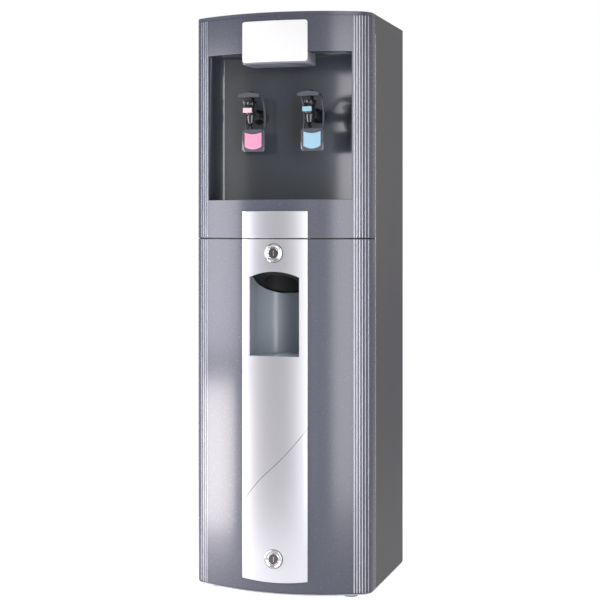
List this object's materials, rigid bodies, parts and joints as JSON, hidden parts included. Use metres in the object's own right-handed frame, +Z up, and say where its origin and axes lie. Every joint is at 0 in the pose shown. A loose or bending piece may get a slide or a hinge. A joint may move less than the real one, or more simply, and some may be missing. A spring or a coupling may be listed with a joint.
{
  "type": "bottom load water cooler",
  "caption": "Free-standing bottom load water cooler: bowed charcoal cabinet, ribbed corners, silver strip and niche in a locked door, hot and cold lever taps.",
  "frame": {"origin": "middle of the footprint on the floor", "axes": "+Z up, -Y towards the bowed front and taps, +X to the right seen from the front"},
  "size_m": [0.352, 0.3594, 1.108],
  "materials": {
    "charcoal": "satin",
    "side_paint": "satin",
    "silver": "satin",
    "badge_silver": "satin",
    "niche_grey": "satin",
    "black_plastic": "gloss",
    "pink": "gloss",
    "blue": "gloss",
    "lock_steel": "polished",
    "zinc": "satin",
    "black_paint": "satin",
    "rubber_black": "matte",
    "tank_steel": "brushed",
    "foam": "matte",
    "hose_white": "matte"
  },
  "bodies": {
    "cabinet": {"base_plate": "zinc", "feet": "rubber_black", "left_side_panel": "side_paint", "right_side_panel": "side_paint", "rear_panel": "zinc", "top_cover": "charcoal", "upper_front_frame": "charcoal", "upper_strip": "silver", "badge_plate": "badge_silver", "alcove_liner": "charcoal", "alcove_ledge": "charcoal", "nose_canopy": "charcoal", "mid_shelf": "zinc", "tank_deck": "zinc", "shelf_angles": "zinc", "hinge_pins": "lock_steel", "cup_tube": "black_plastic", "hot_body": "black_plastic", "cold_body": "black_plastic", "hot_tab": "pink", "cold_tab": "blue", "lever_pins": "lock_steel", "tap_hoses": "hose_white", "suction_hose": "hose_white", "riser_hose": "hose_white", "cold_tank": "tank_steel", "hot_tank": "tank_steel", "cold_tank_foam": "foam", "compressor": "black_paint", "compressor_mounts": "rubber_black", "pump": "black_plastic", "condenser": "black_paint", "condenser_brackets": "zinc", "probe_clip": "black_plastic", "bottle_probe": "hose_white", "control_box": "black_plastic", "hot_switch_housing": "black_plastic", "cold_switch_housing": "black_plastic", "power_inlet": "black_plastic", "drain_outlet": "black_plastic"},
    "door": {"door_panel": "charcoal", "door_strip": "silver", "niche_liner": "niche_grey", "lock_bezel_upper": "lock_steel", "lock_bezel_lower": "lock_steel"},
    "upper_lock": {"lock_plug_upper": "lock_steel", "lock_cam_upper": "lock_steel"},
    "lower_lock": {"lock_plug_lower": "lock_steel", "lock_cam_lower": "lock_steel"},
    "hot_push": {"hot_lever": "black_plastic", "hot_insert": "pink"},
    "cold_push": {"cold_lever": "black_plastic", "cold_insert": "blue"},
    "hot_valve": {"hot_stem": "black_plastic"},
    "cold_valve": {"cold_stem": "black_plastic"},
    "tray": {"drip_tray": "black_plastic"},
    "grille": {"drip_grille": "black_plastic"},
    "hot_rocker": {"hot_switch_rocker": "black_plastic"},
    "cold_rocker": {"cold_switch_rocker": "black_plastic"},
    "drain_plug": {"drain_cap": "black_plastic"}
  },
  "joints": [
    {"name": "door_hinge", "type": "hinge", "parent": "cabinet", "child": "door", "pos_m": [-0.16815, -0.11423, 0.34475], "axis": [0, 0, -1], "range_deg": [0, 105]},
    {"name": "upper_lock_turn", "type": "hinge", "parent": "door", "child": "upper_lock", "pos_m": [0, -0.15125, 0.652], "axis": [0, -1, 0], "range_deg": [0, 90]},
    {"name": "lower_lock_turn", "type": "hinge", "parent": "door", "child": "lower_lock", "pos_m": [0, -0.15125, 0.074], "axis": [0, 1, 0], "range_deg": [0, 90]},
    {"name": "tray_lift", "type": "slide", "parent": "cabinet", "child": "tray", "axis": [0, 0, 1], "range_m": [0, 0.05]},
    {"name": "grille_lift", "type": "slide", "parent": "tray", "child": "grille", "axis": [0, 0, 1], "range_m": [0, 0.03]},
    {"name": "drain_cap_pull", "type": "slide", "parent": "cabinet", "child": "drain_plug", "axis": [0, 1, 0], "range_m": [0, 0.03]},
    {"name": "hot_lever_push", "type": "hinge", "parent": "cabinet", "child": "hot_push", "pos_m": [-0.0595, -0.14225, 0.9546], "axis": [1, 0, 0], "range_deg": [0, 12], "stiffness_Nm_per_rad": 0.3},
    {"name": "hot_stem_lift", "type": "slide", "parent": "cabinet", "child": "hot_valve", "axis": [0, 0, 1], "range_m": [0, 0.0034]},
    {"name": "cold_lever_push", "type": "hinge", "parent": "cabinet", "child": "cold_push", "pos_m": [0.0595, -0.14225, 0.9546], "axis": [1, 0, 0], "range_deg": [0, 12], "stiffness_Nm_per_rad": 0.3},
    {"name": "cold_stem_lift", "type": "slide", "parent": "cabinet", "child": "cold_valve", "axis": [0, 0, 1], "range_m": [0, 0.0034]},
    {"name": "hot_switch_rock", "type": "hinge", "parent": "cabinet", "child": "hot_rocker", "pos_m": [-0.045, 0.15855, 1.0036], "axis": [1, 0, 0], "range_deg": [-7, 7]},
    {"name": "cold_switch_rock", "type": "hinge", "parent": "cabinet", "child": "cold_rocker", "pos_m": [0.045, 0.15855, 1.0036], "axis": [1, 0, 0], "range_deg": [-7, 7]}
  ],
  "couplings": [
    {"joint": "hot_stem_lift", "follows": "hot_lever_push", "m_per_rad": 0.016},
    {"joint": "cold_stem_lift", "follows": "cold_lever_push", "m_per_rad": 0.016}
  ]
}
